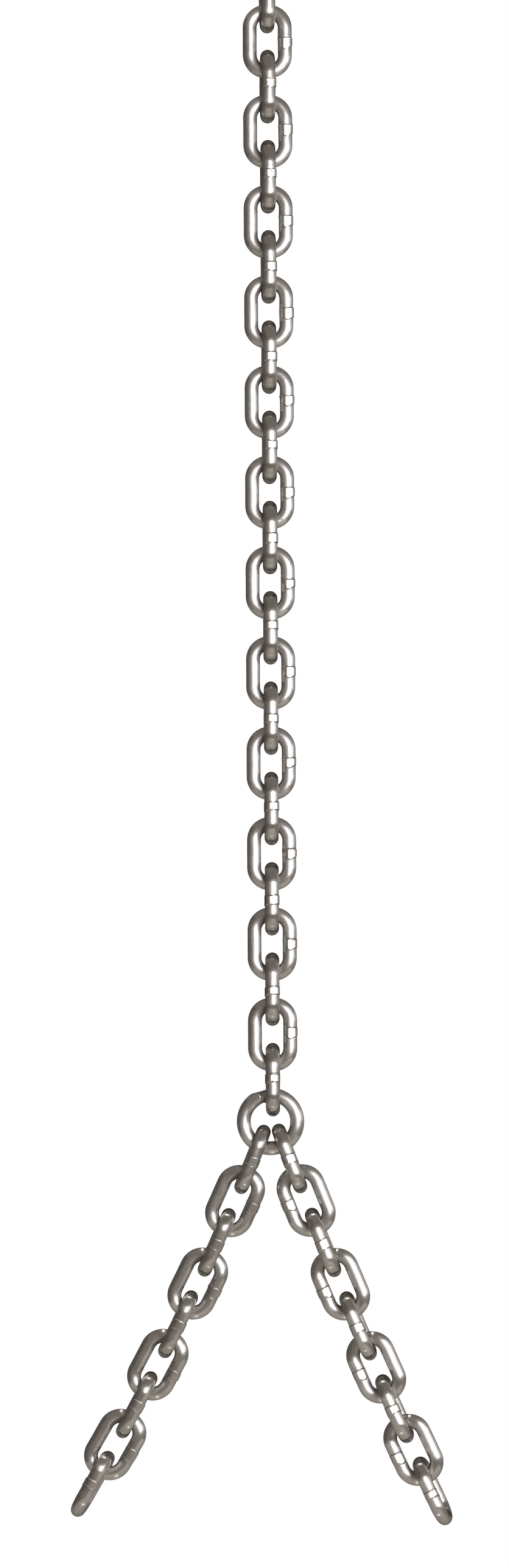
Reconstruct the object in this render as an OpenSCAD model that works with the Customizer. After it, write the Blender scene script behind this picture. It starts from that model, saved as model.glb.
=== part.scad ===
// Swing chain: a welded short-link chain hangs from its top link, a round welded ring
// hangs in its last link, and two shorter legs of the same chain hang from the ring and
// spread apart. The origin is the point inside the top link where a hook or pin bears.
// +Z is up, and the ring's face looks along -Y.

/* [Link] */
// Diameter of the round bar that every link is bent from
wire_d = 5.7; // [4.6:0.1:6.6]
// Inside length of a link, which is the chain's pitch
inside_l = 18.5; // [16.5:0.5:26]
// Inside width of a link
inside_w = 8.6; // [7.6:0.1:12]
// Straight seat across the middle of each end, where the next link bears
seat_l = 1.2; // [0.6:0.1:2]
// Clearance between two bars where one link bears on the next
bearing_gap = 0.15; // [0.1:0.05:0.4]

/* [Weld] */
// Length of the pressed weld band, half way down one side of a link
weld_l = 4.8; // [3:0.1:6]
// How far the band stands proud of the bar on its outer side
weld_proud = 0.32; // [0.2:0.02:0.6]
// How far the band's pressed faces and its inner side stand proud of the bar
weld_press = 0.12; // [0.06:0.02:0.2]
// Length of the slope at each end of the band
weld_slope = 0.45; // [0.2:0.05:0.8]
// How far the fin at each end of the band stands above the band
weld_fin = 0.12; // [0.06:0.02:0.2]

/* [Main chain] */
// Number of links from the top link to the ring
main_links = 25; // [3:2:41]
// How far the second link is turned about the chain, as it hangs
main_twist = 3.75; // [-8:0.25:8]
// How much further round each link hangs than the link above it
main_twist_step = -0.2; // [-1:0.05:1]

/* [Ring] */
// Diameter of the round bar that the ring is bent from
ring_wire_d = 5.7; // [4.8:0.1:6.6]
// Inside diameter of the ring
ring_inside_d = 16; // [15:0.5:30]
// How far round the ring, to the right of its top, the last main link bears
ring_shift = 12; // [0:1:20]
// How far round from the top the ring's weld lies, to the left
ring_weld_at = 15; // [12:1:80]
// Length of the ring's weld along the bar
ring_weld_l = 3; // [2:0.1:4]
// Depth of the flat that is left on the ring's outer side where the weld is dressed
ring_flat = 0.8; // [0.2:0.1:1.2]

/* [Legs] */
// Number of links in each leg
leg_links = 9; // [1:1:15]
// Clearance between the two legs' first links, side by side in the ring
leg_gap = 0.45; // [0.3:0.05:2]
// How far the two first links sit round the ring to the right of its lowest point
legs_shift = 4; // [0:1:8]
// Angle between the left leg's first link and the vertical
left_lean = 22.4; // [15:0.1:45]
// How much further out each pair of links below it leans
left_curl = 1.9; // [0:0.1:4]
// How far the left leg's first link is turned about its own axis
left_twist = 1; // [-10:0.5:10]
// How much further round each link of the left leg hangs than the one above it
left_twist_step = -0.1; // [-2:0.05:2]
// How much further still the left leg's last link is turned
left_end_turn = -5.5; // [-10:0.5:10]
// Angle between the right leg's first link and the vertical
right_lean = 20.8; // [15:0.1:45]
// How much further out each pair of links below it leans
right_curl = 1; // [0:0.1:4]
// How far the right leg's first link is turned about its own axis
right_twist = -1; // [-10:0.5:10]
// How much further round each link of the right leg hangs than the one above it
right_twist_step = -0.85; // [-2:0.05:2]

/* [Hidden] */
$fn = 48;
bar_r = wire_d / 2;
ring_bar_r = ring_wire_d / 2;

// A link's bar runs at side_x from its middle and crosses over at end_z above and below it
side_x = (inside_w + wire_d) / 2;
end_z = (inside_l + wire_d) / 2;
bend_r = side_x - seat_l / 2;
bend_z = end_z - bend_r;

// Each link hangs this far below the one above it
link_step = inside_l - bearing_gap;

// Height of a main link's middle, and of the bar that the ring hangs on
function main_z(i) = -inside_l / 2 - (i - 1) * link_step;
last_bar_z = main_z(main_links) - end_z;

// Distance between the centres of the ring's bar and of a link's bar that bears on it
ring_seat = bar_r + ring_bar_r + bearing_gap;

// The last main link bears inside the ring at crown_r from its centre, and so do the legs' first
// links, which leg_gap holds apart
ring_r = (ring_inside_d + ring_wire_d) / 2;
crown_r = ring_r - ring_seat;
ring_x = -crown_r * sin(ring_shift);
ring_z = last_bar_z - crown_r * cos(ring_shift);
crown_angle = asin((wire_d + leg_gap) / (2 * crown_r));

// Left is side -1 and right is side 1. The first link has its own lean, then each pair shares one
function lean(side, i) =
    side < 0 ? left_lean + left_curl * floor(i / 2) : right_lean + right_curl * floor(i / 2);
function leg_twist(side, i) =
    side > 0 ? right_twist + right_twist_step * (i - 1)
    : left_twist + left_twist_step * (i - 1) + (i == leg_links ? left_end_turn : 0);

// Unit vector down along link i of a leg
function down(side, i) = [side * sin(lean(side, i)), 0, -cos(lean(side, i))];

// Centre of the first link's upper end, in the ring
function crown(side) =
    let (a = side * crown_angle + legs_shift)
    [ring_x + crown_r * sin(a), 0, ring_z - crown_r * cos(a)];

// Centre of the bar at the lower end of link i of a leg, where the next link bears
function leg_bar(side, i) =
    i == 1 ? crown(side) + 2 * end_z * down(side, 1) : leg_bar(side, i - 1) + link_step * down(side, i);

// Every other link is turned a quarter round, so that its weld faces the front
function quarter(i) = i % 2 == 1 ? -90 : 0;

function two_digits(i) = i < 10 ? str("0", i) : str(i);
function main_name(i) = str("main_link_", two_digits(i));
function leg_name(side, i) = str(side < 0 ? "left_link_" : "right_link_", i);

// Half a link above its middle: two quarter bends and the straight seat between them
module link_end() {
    translate([0, 0, end_z])
        rotate([0, 90, 0])
            cylinder(h = seat_l, r = bar_r, center = true);
    for (side = [0, 180])
        rotate([0, 0, side])
            translate([seat_l / 2, 0, bend_z])
                rotate([90, 0, 0])
                    rotate_extrude(angle = 90)
                        translate([bend_r, 0])
                            circle(r = bar_r);
}

// Pressed butt weld round a bar that runs along Z. Its outer side is +X
module weld_band(length, r) {
    half = length / 2;
    top = half - weld_slope;
    intersection() {
        rotate_extrude()
            polygon([
                [0, -half], [r, -half], [r + weld_proud + weld_fin, -top],
                [r + weld_proud, -top + weld_slope / 2], [r + weld_proud, top - weld_slope / 2],
                [r + weld_proud + weld_fin, top], [r, half], [0, half]
            ]);
        translate([-r - weld_press, -r - weld_press, -half])
            cube([2 * r + 2 * weld_proud + 2 * weld_fin, 2 * (r + weld_press), length]);
    }
}

// One link in its own XZ plane, with its weld on the side that weld_side names
module link(weld_side) {
    for (side = [-1, 1])
        translate([side * side_x, 0, 0])
            cylinder(h = 2 * bend_z, r = bar_r, center = true);
    link_end();
    mirror([0, 0, 1])
        link_end();
    translate([weld_side * side_x, 0, 0])
        rotate([0, 0, weld_side > 0 ? 0 : 180])
            weld_band(weld_l, bar_r);
}

// Link i of the main chain, which hangs straight down
module main_link(i) {
    color("silver")
        translate([0, 0, main_z(i)])
            rotate([0, 0, quarter(i) + main_twist + main_twist_step * (i - 2)])
                link(1);
}

// The ring that joins the chain to its two legs
module ring() {
    color("lightgray")
        translate([ring_x, 0, ring_z])
            rotate([0, -90 - ring_weld_at, 0])
                difference() {
                    union() {
                        rotate([90, 0, 0])
                            rotate_extrude()
                                translate([ring_r, 0])
                                    circle(r = ring_bar_r);
                        translate([ring_r, 0, 0])
                            weld_band(ring_weld_l, ring_bar_r);
                    }
                    translate([ring_r + ring_bar_r - ring_flat, -ring_wire_d, -ring_r])
                        cube([ring_wire_d, 2 * ring_wire_d, 2 * ring_r]);
                }
}

// Link i of a leg. The welds of the links that face the front are on the leg's inner side
module leg_link(side, i) {
    color(side < 0 ? "gainsboro" : "darkgray")
        translate(leg_bar(side, i) - end_z * down(side, i))
            rotate([0, -side * lean(side, i), 0])
                rotate([0, 0, quarter(i) + leg_twist(side, i)])
                    link(i % 2 == 1 ? 1 : -side);
}

for (i = [1:main_links])
    main_link(i);
ring();
for (side = [-1, 1])
    for (i = [1:leg_links])
        leg_link(side, i);
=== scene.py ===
import math
import random

import bpy
import numpy as np
from mathutils import Matrix, Vector


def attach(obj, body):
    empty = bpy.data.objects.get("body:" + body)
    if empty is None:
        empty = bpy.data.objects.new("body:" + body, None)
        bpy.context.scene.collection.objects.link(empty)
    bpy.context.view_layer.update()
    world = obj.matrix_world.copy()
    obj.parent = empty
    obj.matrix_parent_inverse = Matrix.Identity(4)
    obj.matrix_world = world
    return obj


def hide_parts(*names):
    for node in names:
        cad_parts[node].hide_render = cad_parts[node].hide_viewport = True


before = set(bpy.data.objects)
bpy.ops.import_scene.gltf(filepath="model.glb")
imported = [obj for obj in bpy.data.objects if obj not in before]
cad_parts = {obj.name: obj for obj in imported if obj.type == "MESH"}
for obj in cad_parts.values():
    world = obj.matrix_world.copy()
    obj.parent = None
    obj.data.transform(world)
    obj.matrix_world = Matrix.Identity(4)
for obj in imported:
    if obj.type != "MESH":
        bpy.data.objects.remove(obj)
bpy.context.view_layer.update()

mm = 0.001
fullTurn = 6.28      # radians, for a random place round a bar
print("frame loaded:", len(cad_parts), "nodes")

# The chain as it is made, in millimetres and degrees. The ring is bent from the links' own bar
link = {"bar": 5.7, "insideLength": 18.5, "insideWidth": 8.6, "seat": 1.2, "gap": 0.15}
mainChain = {"count": 25, "twist": 3.75, "twistStep": -0.2}
joinRing = {"insideDiameter": 16.0, "shift": 12.0, "weldAt": 15.0, "flat": 0.8}
legs = {
    "count": 9, "gap": 0.45, "shift": 4.0,
    "left": {"side": -1, "lean": 22.4, "curl": 1.9, "twist": 1.0, "twistStep": -0.1, "endTurn": -5.5},
    "right": {"side": 1, "lean": 20.8, "curl": 1.0, "twist": -1.0, "twistStep": -0.85, "endTurn": 0.0},
}

barRadius = link["bar"] / 2
sideX = (link["insideWidth"] + link["bar"]) / 2
endZ = (link["insideLength"] + link["bar"]) / 2
bendRadius = sideX - link["seat"] / 2
bendZ = endZ - bendRadius
linkStep = link["insideLength"] - link["gap"]
ringRadius = (joinRing["insideDiameter"] + link["bar"]) / 2
crownRadius = ringRadius - (link["bar"] + link["gap"])      # where links bear inside the ring


def mainZ(i):
    return -link["insideLength"] / 2 - (i - 1) * linkStep


ringShift = math.radians(joinRing["shift"])
ringX = -crownRadius * math.sin(ringShift)
ringZ = mainZ(mainChain["count"]) - endZ - crownRadius * math.cos(ringShift)


def turn(degrees, axis):
    return Matrix.Rotation(math.radians(degrees), 3, axis)


def quarter(i):
    return -90 if i % 2 else 0      # odd links are edge-on


def mainPlace(i):
    spin = quarter(i) + mainChain["twist"] + mainChain["twistStep"] * (i - 2)
    return Vector((0, 0, mainZ(i))), turn(spin, "Z")


def legLean(leg, i):
    return leg["lean"] + leg["curl"] * (i // 2)


def legSpin(leg, i):
    endTurn = leg["endTurn"] if i == legs["count"] else 0
    return quarter(i) + leg["twist"] + leg["twistStep"] * (i - 1) + endTurn


def legDown(leg, i):
    angle = math.radians(legLean(leg, i))
    return Vector((leg["side"] * math.sin(angle), 0, -math.cos(angle)))


def legPlace(leg, i):
    # Down from the crown in the ring to the bar that link i hangs on, then to its middle
    apart = math.degrees(math.asin((link["bar"] + legs["gap"]) / (2 * crownRadius)))
    angle = math.radians(leg["side"] * apart + legs["shift"])
    bar = Vector((ringX + crownRadius * math.sin(angle), 0, ringZ - crownRadius * math.cos(angle)))
    bar += 2 * endZ * legDown(leg, 1)
    for k in range(2, i + 1):
        bar += linkStep * legDown(leg, k)
    axes = turn(-leg["side"] * legLean(leg, i), "Y") @ turn(legSpin(leg, i), "Z")
    return bar - endZ * legDown(leg, i), axes


# The bar of every link and of the ring, in millimetres
barLook = {
    "sides": 64, "coarse": 0.5, "fine": 0.12, "fineReach": 4.4, "ringStops": 400,
    "ripples": 5, "ripple": 0.010, "turns": (1, 8), "waves": (0, 3), "rippleFaint": 0.2,
    "nicks": 4, "nickDepth": 0.05, "nickSize": (0.3, 0.7), "nickStretch": (0.7, 1.8), "nickFaint": 0.3,
    "sunk": 0.025,      # keeps the ripple within the solid bar
}


def along(heading):
    # Unit vector at so many degrees in the link's own XZ plane
    angle = math.radians(heading)
    return Vector((math.cos(angle), 0, math.sin(angle)))


def linkStops(length):
    # Places along the bar from the middle of the welded side, close together near the weld
    stops = []
    s = -length / 2
    while s < length / 2 - barLook["fine"] / 2:
        stops.append(s)
        s += barLook["fine"] if abs(s) < barLook["fineReach"] else barLook["coarse"]
    return stops


def linkPath():
    straight = 2 * bendZ
    bend = math.pi / 2 * bendRadius
    length = 2 * (straight + 2 * bend + link["seat"])
    end = [("bend", bend), ("line", link["seat"]), ("bend", bend)]
    runs = [("line", bendZ), *end, ("line", straight), *end, ("line", bendZ)]
    rows = []
    for stop in linkStops(length):
        left = stop % length
        point = Vector((sideX, 0, 0))
        heading = 90.0
        for kind, run in runs:
            part = min(left, run)
            if kind == "line":
                point += part * along(heading)
            else:
                centre = point + bendRadius * along(heading + 90)
                heading += math.degrees(part / bendRadius)
                point = centre + bendRadius * along(heading - 90)
            left -= part
            if left <= 1e-9:
                break
        rows.append((stop, point, along(heading - 90)))
    return rows, length


def ringPath():
    length = 2 * math.pi * ringRadius
    rows = []
    for k in range(barLook["ringStops"]):
        s = -length / 2 + length * k / barLook["ringStops"]
        angle = math.radians(joinRing["weldAt"]) - s / ringRadius
        outward = Vector((-math.sin(angle), 0, math.cos(angle)))
        rows.append((s, ringRadius * outward, outward))
    return rows, length


def smooth(t):
    t = np.clip(t, 0, 1)
    return t * t * (3 - 2 * t)


def bump(distance, width):
    return np.exp(-(distance / width) ** 2)


def wrapped(angle):
    return (angle + math.pi) % (2 * math.pi) - math.pi


# A link's pressed weld, in millimetres and degrees. Values named wide or across are radians round the bar
weldLook = {
    "length": 4.5, "lengthSpread": 0.5, "lowest": -1.1, "highest": 0.5, "pressed": 0.05,
    "turned": 16, "turnedShare": (0.7, 1.3), "squareness": 3.5, "corner": 0.33,
    "sectionEnd": 165, "sectionEndWide": 0.9,
    "waver": 0.10, "rise": 1.1, "riseWide": 1.8, "closeFrom": 98, "closeOver": 58,
    "edge": 0.24, "edgeShare": (0.8, 1.3), "softEdge": 0.65, "softEdgeShare": (0.6, 1.2),
    "blunt": 0.8, "bluntWide": 0.6,
    "lip": 0.03, "groove": 0.08, "lineEnd": 150, "lineEndWide": 0.7,
    "upperLine": {"faint": 0.5, "strong": 1.2, "lipAt": 0.2, "lipSize": 0.14,
                  "grooveAt": 0.16, "grooveSize": 0.15},
    "lowerLine": {"faint": 0.1, "strong": 0.55, "lipAt": 0.25, "lipSize": 0.2,
                  "grooveAt": 0.22, "grooveSize": 0.2},
    "burr": 0.34, "burrAcross": (2.3, 2.9), "burrSize": (0.5, 0.9), "burrBelow": 0.3,
    "dents": 3, "dentDepth": 0.05, "dentAcross": 1.6, "dentReach": 0.8, "dentLength": 0.5, "dentWidth": 0.7,
    "heatPast": 1.4,
}


def weldSection(turned, look):
    # The weld stands out square from the bar and dies away on the inner side
    deep = barRadius + look["pressed"]
    power = look["squareness"]
    corners = np.abs(np.cos(turned) / barRadius) ** power + np.abs(np.sin(turned) / deep) ** power
    square = corners ** (-1 / power)
    shown = smooth((math.radians(look["sectionEnd"]) - np.abs(turned)) / look["sectionEndWide"])
    return np.minimum(square - barRadius, look["corner"]) * shown


def scoredLine(past, line, look):
    # A lip just within the weld's edge and a groove just past it
    lip = look["lip"] * bump(past + line["lipAt"], line["lipSize"])
    return lip - look["groove"] * bump(past - line["grooveAt"], line["grooveSize"])


def weldRelief(s, angle, dice, look):
    # The upper edge is straight and crisp. The lower edge hangs down on both sides and rounds up to meet the
    # upper one on the inner side, where a burr is left
    s = s - dice.uniform(look["lowest"], look["highest"])
    half = look["length"] / 2 + dice.uniform(-0.5, 0.5) * look["lengthSpread"]
    turned = wrapped(angle - math.radians(look["turned"]) * dice.uniform(*look["turnedShare"]))
    away = np.abs(turned)
    section = weldSection(turned, look)
    phase = dice.uniform(0, fullTurn)
    lean = dice.uniform(-1, 1)
    wave = np.sin(2 * angle + phase) + 1.5 * lean * np.sin(angle) + 0.5 * np.sin(5 * angle + 3 * phase)
    upper = half + look["waver"] * wave
    close = np.clip((away - math.radians(look["closeFrom"])) / math.radians(look["closeOver"]), 0, 1)
    lowerWave = 0.7 * look["waver"] * np.sin(2 * angle + 2 * phase)
    lower = -half + look["rise"] * smooth(look["riseWide"] - away) + lowerWave
    lower = lower + (upper - lower) * (1 - np.sqrt(1 - close ** 2))
    blunt = 1 + look["blunt"] * bump(angle, look["bluntWide"])
    crisp = blunt * look["edge"] * dice.uniform(*look["edgeShare"])
    soft = blunt * look["softEdge"] * dice.uniform(*look["softEdgeShare"])
    relief = section * smooth(0.5 + (upper - s) / crisp) * smooth(0.5 + (s - lower) / soft)
    shown = smooth((math.radians(look["lineEnd"]) - away) / look["lineEndWide"])
    for past, line in ((s - upper, look["upperLine"]), (lower - s, look["lowerLine"])):
        strength = dice.uniform(line["faint"], line["strong"])
        relief = relief + shown * strength * scoredLine(past, line, look)
    for side in (-1, 1):
        across = wrapped(angle - side * dice.uniform(*look["burrAcross"])) * barRadius
        size = dice.uniform(*look["burrSize"])
        height = look["burr"] * dice.uniform(0, 1)
        relief = relief + height * bump(s - upper + look["burrBelow"], size) * bump(across, size)
    for _ in range(look["dents"]):
        across = wrapped(angle - dice.uniform(-look["dentAcross"], look["dentAcross"])) * barRadius
        off = s - dice.uniform(-look["dentReach"], look["dentReach"]) * half
        depth = look["dentDepth"] * dice.uniform(0, 1)
        relief = relief - depth * bump(off, look["dentLength"]) * bump(across, look["dentWidth"])
    return relief, np.exp(-(s / (half + look["heatPast"])) ** 4)


def wearRelief(s, angle, length, dice):
    # Faint waves along and round the bar, and a few nicks
    relief = 0 * s - barLook["sunk"]
    for _ in range(barLook["ripples"]):
        turns = dice.randint(*barLook["turns"])
        waves = dice.randint(*barLook["waves"])
        ripple = np.sin(2 * math.pi * turns * s / length + waves * angle + dice.uniform(0, fullTurn))
        relief = relief + barLook["ripple"] * ripple * dice.uniform(barLook["rippleFaint"], 1)
    for _ in range(barLook["nicks"]):
        at = dice.uniform(-0.5, 0.5) * length
        around = dice.uniform(0, fullTurn)
        size = dice.uniform(*barLook["nickSize"])
        off = (s - at + length / 2) % length - length / 2
        across = wrapped(angle - around) * barRadius
        depth = dice.uniform(barLook["nickFaint"], 1) * barLook["nickDepth"]
        stretch = dice.uniform(*barLook["nickStretch"])
        relief = relief - depth * bump(off, size * stretch) * bump(across, size)
    return relief


def linkRelief(s, angle, length, dice):
    weld, heat = weldRelief(s, angle, dice, weldLook)
    return weld + wearRelief(s, angle, length, dice), heat


# The ring's weld is dressed flat on the outer side. Two scored lines mark its ends, with a burr inside
ringWeld = {
    "middle": 0.5, "half": 1.8, "lineDepth": 0.10, "lineWidth": 0.16, "lineWave": 0.12, "neck": 0.10,
    "burr": 0.42, "burrAt": 0.4, "burrLength": 0.9, "burrWidth": 1.2, "flatEdge": 0.05, "heat": 2.2,
}


def ringRelief(s, angle, length, dice):
    relief = wearRelief(s, angle, length, dice)
    band = s - ringWeld["middle"]
    for end in (-1, 1):
        line = band - end * ringWeld["half"] - ringWeld["lineWave"] * np.sin(2 * angle + end)
        relief = relief - ringWeld["lineDepth"] * bump(line, ringWeld["lineWidth"])
    relief = relief - ringWeld["neck"] * bump(band, ringWeld["half"])
    inside = bump(wrapped(angle - math.pi) * barRadius, ringWeld["burrWidth"])
    relief = relief + ringWeld["burr"] * bump(s - ringWeld["burrAt"], ringWeld["burrLength"]) * inside
    # How far out from the middle of the bar the flat lies. The clipped places are far from it
    flat = ringRadius + barRadius - joinRing["flat"]
    reach = flat / np.clip(np.cos(s / ringRadius), 0.3, 1) - ringRadius
    reach = np.clip(reach / np.clip(np.cos(angle), 0.02, 1), 0, 9)
    blend = ringWeld["flatEdge"]
    radius = -blend * np.log(np.exp(-(barRadius + relief) / blend) + np.exp(-reach / blend))
    return radius - barRadius, np.exp(-(band / ringWeld["heat"]) ** 6)


def store(mesh, name, kind, domain, values):
    field = "value" if kind == "FLOAT" else "vector"
    mesh.attributes.new(name, kind, domain).data.foreach_set(field, values.astype(np.float32).ravel())


def sweepBar(name, path, length, centre, axes, dice, reliefAt, weldSide=1):
    # A closed bar: rings of points round the path, with each corner's own place along and round the bar
    sides = barLook["sides"]
    s = np.array([row[0] for row in path])[:, None]
    middle = np.array([row[1] for row in path])[:, None, :]
    outward = np.array([row[2] for row in path])[:, None, :]
    across = np.array([0, 1.0, 0])
    angle = (np.arange(sides) * 2 * math.pi / sides)[None, :]
    relief, heat = reliefAt(s + 0 * angle, angle + 0 * s, length, dice)
    radius = barRadius + relief
    local = (middle + (radius * np.cos(angle))[..., None] * outward
             + (radius * np.sin(angle))[..., None] * across)
    around = np.cos(angle)[..., None] * across - np.sin(angle)[..., None] * outward
    if weldSide < 0:      # half a turn takes the weld to the other side
        local = local * [-1, -1, 1]
        around = around * [-1, -1, 1]
    world = (local.reshape(-1, 3) @ np.array(axes).T + np.array(centre)) * mm
    around = around.reshape(-1, 3) @ np.array(axes).T

    i, j = np.meshgrid(np.arange(len(path)), np.arange(sides), indexing="ij")
    iNext = (i + 1) % len(path)
    jNext = (j + 1) % sides
    faces = np.stack([i * sides + j, i * sides + jNext, iNext * sides + jNext, iNext * sides + j], -1)
    mesh = bpy.data.meshes.new(name)
    mesh.from_pydata(world.tolist(), [], faces.reshape(-1, 4).tolist())
    mesh.shade_smooth()

    ends = np.append(s[:, 0], s[0, 0] + length)
    cornerAlong = np.stack([ends[i], ends[i], ends[i + 1], ends[i + 1]], -1).reshape(-1)
    cornerAngle = np.stack([angle[0][j], angle[0][jNext], angle[0][jNext], angle[0][j]], -1).reshape(-1)
    start = dice.uniform(0, 400)      # no two bars have the same grain
    place = [barRadius * np.cos(cornerAngle), barRadius * np.sin(cornerAngle), cornerAlong + start]
    store(mesh, "barPlace", "FLOAT_VECTOR", "CORNER", np.stack(place, -1))
    store(mesh, "weldHeat", "FLOAT", "POINT", heat)
    store(mesh, "aroundBar", "FLOAT_VECTOR", "POINT", around)
    piece = bpy.data.objects.new(name, mesh)
    bpy.context.scene.collection.objects.link(piece)
    return piece


def node(tree, kind, **values):
    # A value goes to the socket of that name, or else to the node's own setting
    made = tree.nodes.new(kind)
    for key, value in values.items():
        if key in made.inputs:
            made.inputs[key].default_value = value
        else:
            setattr(made, key, value)
    return made


def ramp(tree, source, low, high, outLow, outHigh):
    made = tree.nodes.new("ShaderNodeMapRange")
    for key, value in (("From Min", low), ("From Max", high), ("To Min", outLow), ("To Max", outHigh)):
        made.inputs[key].default_value = value
    tree.links.new(source, made.inputs["Value"])
    return made.outputs["Result"]


def combine(tree, operation, first, second):
    made = node(tree, "ShaderNodeMath", operation=operation)
    tree.links.new(first, made.inputs[0])
    tree.links.new(second, made.inputs[1])
    return made.outputs[0]


# Bare steel, drawn and tumbled along the bar, and dulled by heat round the welds
steelLook = {
    "dark": (0.52, 0.495, 0.472, 1), "light": (0.70, 0.68, 0.66, 1), "rim": (0.42, 0.40, 0.38, 1),
    "heat": (0.36, 0.325, 0.29, 1), "heatShare": 0.5,
    "roughness": 0.255, "streakRoughness": 0.05, "anisotropy": 0.93, "coat": 0.15, "coatRoughness": 0.08,
    "streaks": {"stretch": (1, 1, 0.045), "scale": 3.2, "detail": 4, "bump": 0.005, "height": 0.0001},
    "skin": {"stretch": (1, 1, 0.6), "scale": 1.5, "detail": 2, "bump": 0.025, "height": 0.0002},
    "mottle": {"stretch": (1, 1, 0.55), "scale": 0.5, "detail": 3},
    "noise": (0.3, 0.7), "streakShare": 0.07, "mottleShare": (0.15, 0.85),
    "patches": (0.35, 0.65), "patchFaint": 0.2,
}
ringSteelLook = {**steelLook, "heat": (0.21, 0.19, 0.175, 1), "heatShare": 1.0}


def makeSteel(name, look):
    steel = bpy.data.materials.new(name)
    steel.use_nodes = True
    tree = steel.node_tree
    tree.nodes.clear()
    join = tree.links.new

    def stored(attribute):
        return node(tree, "ShaderNodeAttribute", attribute_name=attribute)

    def grain(kind):
        mapping = node(tree, "ShaderNodeMapping", Scale=kind["stretch"])
        join(stored("barPlace").outputs["Vector"], mapping.inputs["Vector"])
        texture = node(tree, "ShaderNodeTexNoise", Scale=kind["scale"], Detail=kind["detail"])
        join(mapping.outputs["Vector"], texture.inputs["Vector"])
        return texture.outputs["Fac"]

    streaks = grain(look["streaks"])
    mottle = grain(look["mottle"])
    skin = grain(look["skin"])

    share = look["streakShare"]
    lightness = combine(tree, "ADD", ramp(tree, mottle, *look["noise"], *look["mottleShare"]),
                        ramp(tree, streaks, *look["noise"], -share, share))
    shade = node(tree, "ShaderNodeMix", data_type="RGBA", A=look["dark"], B=look["light"])
    join(lightness, shade.inputs["Factor"])
    most = look["heatShare"]
    patches = ramp(tree, mottle, *look["patches"], look["patchFaint"] * most, most)
    tint = node(tree, "ShaderNodeMix", data_type="RGBA", B=look["heat"])
    join(combine(tree, "MULTIPLY", stored("weldHeat").outputs["Fac"], patches), tint.inputs["Factor"])
    join(shade.outputs["Result"], tint.inputs["A"])

    body = node(tree, "ShaderNodeBsdfPrincipled", Metallic=1.0)
    join(tint.outputs["Result"], body.inputs["Base Color"])
    body.inputs["Specular Tint"].default_value = look["rim"]      # dull at the bars' edges
    body.inputs["Coat Weight"].default_value = look["coat"]
    body.inputs["Coat Roughness"].default_value = look["coatRoughness"]
    rough = look["roughness"]
    roughness = ramp(tree, streaks, *look["noise"], rough, rough + look["streakRoughness"])
    join(roughness, body.inputs["Roughness"])
    # The highlights spread round the bar, across its drawn grain
    body.inputs["Anisotropic"].default_value = look["anisotropy"]
    around = node(tree, "ShaderNodeVectorTransform", vector_type="VECTOR",
                  convert_from="OBJECT", convert_to="WORLD")
    join(stored("aroundBar").outputs["Vector"], around.inputs["Vector"])
    join(around.outputs["Vector"], body.inputs["Tangent"])

    def relief(kind, height):
        made = node(tree, "ShaderNodeBump", Strength=kind["bump"], Distance=kind["height"])
        join(height, made.inputs["Height"])
        return made

    skinBump = relief(look["skin"], skin)
    streakBump = relief(look["streaks"], streaks)
    join(skinBump.outputs["Normal"], streakBump.inputs["Normal"])
    join(streakBump.outputs["Normal"], body.inputs["Normal"])
    output = tree.nodes.new("ShaderNodeOutputMaterial")
    join(body.outputs["BSDF"], output.inputs["Surface"])
    return steel


linkSteel = makeSteel("linkSteel", steelLook)
ringSteel = makeSteel("ringSteel", ringSteelLook)
print("steel made")


def finishPiece(piece, nodeName, steel):
    piece.data.materials.append(steel)
    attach(piece, nodeName)
    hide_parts(nodeName)


# Each bar has a seed of its own
path, pathLength = linkPath()
for i in range(1, mainChain["count"] + 1):
    nodeName = "main_link_%02d" % i
    centre, axes = mainPlace(i)
    dice = random.Random(100 + i)
    piece = sweepBar("mainLink%02d" % i, path, pathLength, centre, axes, dice, linkRelief)
    finishPiece(piece, nodeName, linkSteel)
print("main chain made")

for legName, seed in (("left", 200), ("right", 300)):
    leg = legs[legName]
    for i in range(1, legs["count"] + 1):
        name = "%sLink%d" % (legName, i)
        nodeName = "%s_link_%d" % (legName, i)
        centre, axes = legPlace(leg, i)
        weldSide = 1 if i % 2 else -leg["side"]      # a link that faces the front has it on the inner side
        dice = random.Random(seed + i)
        piece = sweepBar(name, path, pathLength, centre, axes, dice, linkRelief, weldSide)
        finishPiece(piece, nodeName, linkSteel)
print("legs made")

ringRows, ringLength = ringPath()
ringCentre = Vector((ringX, 0, ringZ))
dice = random.Random(400)
ringPiece = sweepBar("joinRing", ringRows, ringLength, ringCentre, Matrix.Identity(3), dice, ringRelief)
finishPiece(ringPiece, "ring", ringSteel)
print("ring made")

# The studio: a white background, a pale floor, and dark cards that give the steel something to mirror
studio = {
    "floorZ": -0.9, "floorSize": 1.6, "floorColour": (0.81, 0.755, 0.672, 1), "floorRoughness": 0.8,
    "ambient": 0.32, "roomHalf": 2.2, "roomTop": 1.4, "roomBottom": -1.3, "rearSplit": -0.62,
}
cards = {
    "ceiling": (0.237, 0.211, 0.190), "ground": (0.24, 0.210, 0.180), "left": (0.118, 0.105, 0.094),
    "right": (0.255, 0.235, 0.215), "front": (0.220, 0.196, 0.176), "rear": (0.092, 0.078, 0.063),
    "rearLow": (0.40, 0.39, 0.39),
}


def level(half, z):
    return [(-half, -half, z), (half, -half, z), (half, half, z), (-half, half, z)]


def upright(start, end, low, high):
    return [(*start, low), (*end, low), (*end, high), (*start, high)]


def plane(name, corners):
    mesh = bpy.data.meshes.new(name)
    mesh.from_pydata(corners, [], [(0, 1, 2, 3)])
    thing = bpy.data.objects.new(name, mesh)
    bpy.context.scene.collection.objects.link(thing)
    return thing


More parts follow.
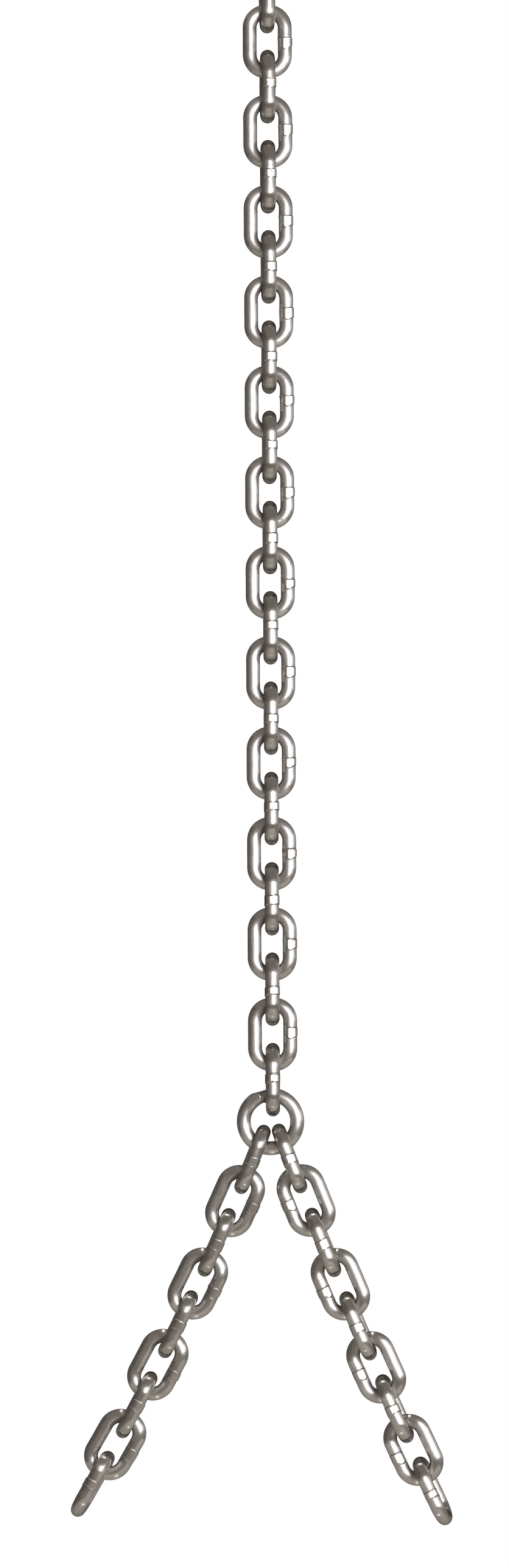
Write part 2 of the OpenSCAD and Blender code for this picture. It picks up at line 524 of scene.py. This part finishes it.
def card(name, corners):
    # Seen only in the steel's reflections
    thing = plane(name + "Card", corners)
    paint = bpy.data.materials.new(name + "Card")
    paint.use_nodes = True
    tree = paint.node_tree
    tree.nodes.clear()
    glow = node(tree, "ShaderNodeEmission", Color=(*cards[name], 1), Strength=1.0)
    output = tree.nodes.new("ShaderNodeOutputMaterial")
    tree.links.new(glow.outputs[0], output.inputs["Surface"])
    paint.cycles.emission_sampling = "NONE"
    thing.data.materials.append(paint)
    thing.visible_camera = False
    thing.visible_diffuse = False
    thing.visible_shadow = False


half, top, bottom, split = (studio[key] for key in ("roomHalf", "roomTop", "roomBottom", "rearSplit"))
card("ceiling", level(half, top))
card("ground", level(half, bottom))
card("left", upright((-half, -half), (-half, half), bottom, top))
card("right", upright((half, -half), (half, half), bottom, top))
card("front", upright((-half, -half), (half, -half), bottom, top))
card("rear", upright((-half, half), (half, half), split, top))
card("rearLow", upright((-half, half), (half, half), bottom, split))

floor = plane("floor", level(studio["floorSize"] / 2, studio["floorZ"]))
floorPaint = bpy.data.materials.new("floor")
floorPaint.use_nodes = True
floorBody = floorPaint.node_tree.nodes["Principled BSDF"]
floorBody.inputs["Base Color"].default_value = studio["floorColour"]
floorBody.inputs["Roughness"].default_value = studio["floorRoughness"]
floor.data.materials.append(floorPaint)

# White where the camera, a mirror or glass looks at the background, and dimmer as light on the steel
world = bpy.data.worlds.new("studio")
bpy.context.scene.world = world
world.use_nodes = True
tree = world.node_tree
tree.nodes.clear()
rays = tree.nodes.new("ShaderNodeLightPath").outputs
seen = combine(tree, "MAXIMUM", rays["Is Camera Ray"], rays["Is Glossy Ray"])
seen = combine(tree, "MAXIMUM", seen, rays["Is Transmission Ray"])
sky = node(tree, "ShaderNodeBackground", Color=(1, 1, 1, 1))
tree.links.new(ramp(tree, seen, 0, 1, studio["ambient"], 1.0), sky.inputs["Strength"])
worldOutput = tree.nodes.new("ShaderNodeOutputWorld")
tree.links.new(sky.outputs[0], worldOutput.inputs["Surface"])
print("studio made")

white = (1, 1, 1)
# Soft boxes: bearing from the camera's side round to the right, distance, height, size and brightness
softBoxes = {
    "key": {"bearing": 22.5, "distance": 1.85, "z": -0.20, "size": (0.80, 0.84), "brightness": 8.2,
            "colour": (0.96, 0.975, 1.0)},
    "keyRight": {"bearing": 51, "distance": 1.85, "z": -0.20, "size": (0.74, 0.48), "brightness": 2.1},
    "skyGlow": {"bearing": 29, "distance": 1.4, "z": 0.36, "size": (1.5, 0.26), "brightness": 0.26,
                "colour": (0.86, 0.84, 1.0)},
    "fill": {"bearing": 80, "distance": 1.5, "z": -0.15, "size": (0.90, 0.56), "brightness": 0.35},
    "farFill": {"bearing": 114, "distance": 1.5, "z": -0.17, "size": (0.85, 0.62), "brightness": 0.11},
    "kicker": {"bearing": -14, "distance": 1.5, "z": -0.33, "size": (0.56, 0.50), "brightness": 0.05},
    "edgeLight": {"bearing": -33, "distance": 1.5, "z": -0.36, "size": (0.50, 0.50), "brightness": 0.04},
    "rearRight": {"bearing": 148, "distance": 1.6, "z": -0.20, "size": (0.60, 0.50), "brightness": 0.27},
    "rearLeft": {"bearing": -150, "distance": 1.6, "z": -0.16, "size": (0.45, 0.30), "brightness": 0.45},
}
# Small lamps above and below, both turned to the chain's middle
smallLamps = {
    "topLamp": {"place": (0, 0.12, 1.1), "size": 0.08, "brightness": 110},
    "lowLamp": {"place": (0.02, -0.14, -0.87), "size": 0.04, "brightness": 6},
}
chainMiddle = (0, 0, -0.3)


def areaLamp(name, place, target, size, brightness, colour):
    data = bpy.data.lights.new(name, "AREA")
    data.shape = "RECTANGLE"
    data.size, data.size_y = size
    data.energy = brightness * math.pi * size[0] * size[1]      # watts for that brightness over its face
    data.color = colour
    lamp = bpy.data.objects.new(name, data)
    lamp.location = place
    lamp.rotation_euler = (Vector(target) - Vector(place)).to_track_quat("-Z", "Y").to_euler()
    lamp.visible_camera = False
    bpy.context.scene.collection.objects.link(lamp)


for name, box in softBoxes.items():
    angle = math.radians(box["bearing"])
    place = (box["distance"] * math.sin(angle), -box["distance"] * math.cos(angle), box["z"])
    target = (0, 0, box["z"])
    areaLamp(name + "SoftBox", place, target, box["size"], box["brightness"], box.get("colour", white))
for name, lamp in smallLamps.items():
    areaLamp(name, lamp["place"], chainMiddle, (lamp["size"], lamp["size"]), lamp["brightness"], white)
print("lamps made")

# The camera looks a little up at the middle of the chain from 3.5 m away, as the photograph does
view = {"distance": 3.5, "lookX": -0.00681, "lookZ": -0.32956, "tiltUp": 0.0137, "roll": 0.0054,
        "pixelsPerMetre": 4044.0, "frameHeight": 2576, "sensor": 36}
forward = Vector((0, math.cos(view["tiltUp"]), math.sin(view["tiltUp"])))
right = Vector((1, 0, 0))
up = right.cross(forward)
rolledRight = right * math.cos(view["roll"]) - up * math.sin(view["roll"])
rolledUp = right * math.sin(view["roll"]) + up * math.cos(view["roll"])
cameraAxes = Matrix((rolledRight, rolledUp, -forward)).transposed()
cameraPlace = Vector((view["lookX"], 0, view["lookZ"])) - view["distance"] * forward
cameraData = bpy.data.cameras.new("camera")
cameraData.sensor_width = view["sensor"]
cameraData.lens = view["sensor"] * view["distance"] * view["pixelsPerMetre"] / view["frameHeight"]
cameraData.clip_start = 0.05
camera = bpy.data.objects.new("camera", cameraData)
camera.matrix_world = Matrix.Translation(cameraPlace) @ cameraAxes.to_4x4()
bpy.context.scene.collection.objects.link(camera)
bpy.context.scene.camera = camera
bpy.context.scene.view_settings.view_transform = "Standard"
print("camera set")
